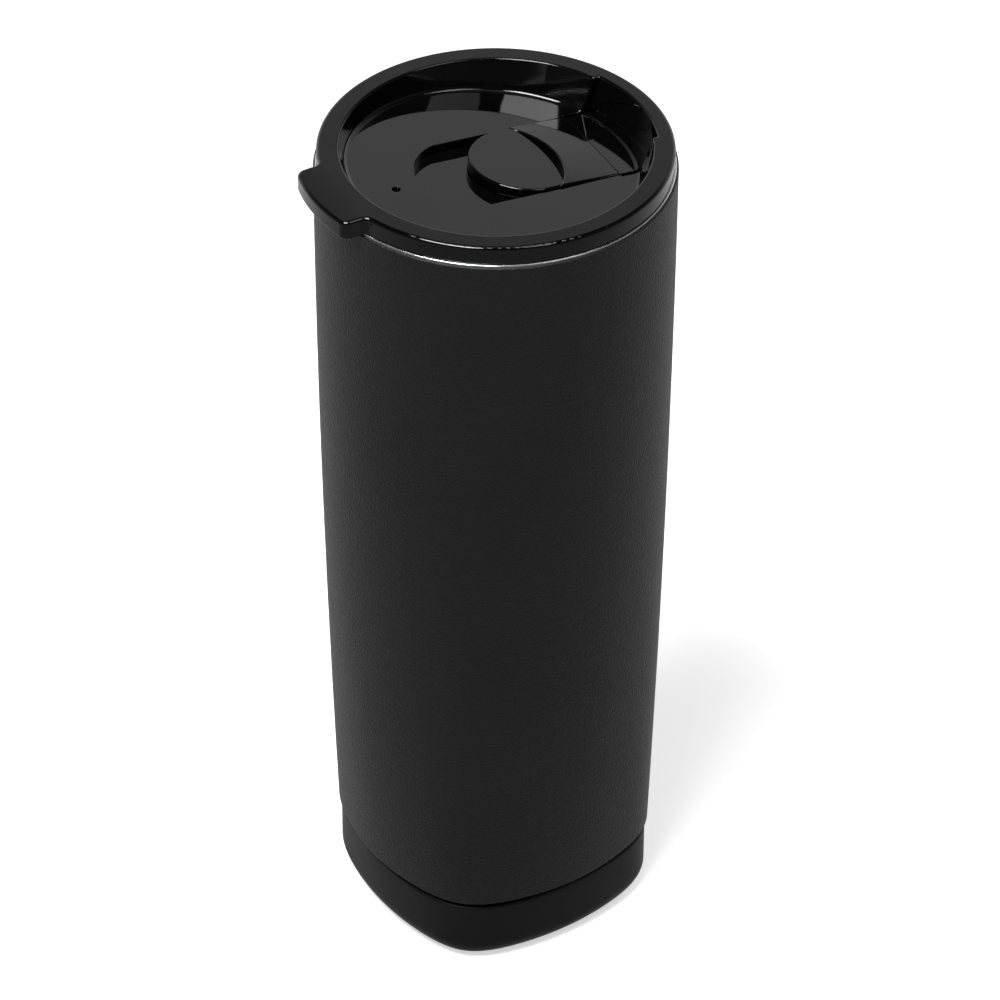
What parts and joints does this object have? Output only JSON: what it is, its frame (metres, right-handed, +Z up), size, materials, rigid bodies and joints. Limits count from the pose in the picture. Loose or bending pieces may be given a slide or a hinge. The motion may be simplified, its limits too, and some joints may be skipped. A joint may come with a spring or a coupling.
{
  "type": "insulated travel mug",
  "caption": "Tall double-wall travel mug, round at the mouth and softly squared at the foot, with a press-in lid, sliding sip closure and rubber foot boot.",
  "frame": {"origin": "centre of the foot, on the table", "axes": "+Z up along the mug's axis; +X from the lid's thumb tab to the drinking side, along the slider's channel; +Y completes a right-handed frame"},
  "size_m": [0.0838, 0.0794, 0.2058],
  "materials": {
    "coated_shell": "black powder coat, fine texture, satin",
    "bare_steel": "electropolished stainless steel",
    "solder_glass": "grey solder glass bead",
    "copper_foil": "thin copper foil",
    "getter_steel": "plain pressed steel",
    "getter_metal": "pressed metal powder",
    "boot_rubber": "smooth matt black rubber",
    "foam": "white adhesive foam",
    "lid_plastic": "glossy black moulded plastic",
    "silicone": "dark grey silicone",
    "clip_plastic": "matt black moulded plastic"
  },
  "bodies": {
    "mug": {"outer_shell": "coated_shell", "outer_bottom": "bare_steel", "port_seal": "solder_glass", "inner_liner": "bare_steel", "inner_bottom": "bare_steel", "radiation_foil": "copper_foil", "getter_cup": "getter_steel", "getter_pellet": "getter_metal", "base_boot": "boot_rubber", "boot_foam_pad": "foam"},
    "lid": {"lid_shell": "lid_plastic", "lid_gasket": "silicone"},
    "slider": {"slider": "lid_plastic", "slider_seal": "silicone", "slider_clip": "clip_plastic"}
  },
  "joints": [
    {"name": "lid_lift", "type": "slide", "parent": "mug", "child": "lid", "axis": [0, 0, 1], "range_m": [0, 0.06]},
    {"name": "slider_slide", "type": "slide", "parent": "lid", "child": "slider", "axis": [-0.9969, 0, 0.0785], "range_m": [0, 0.0128]}
  ]
}
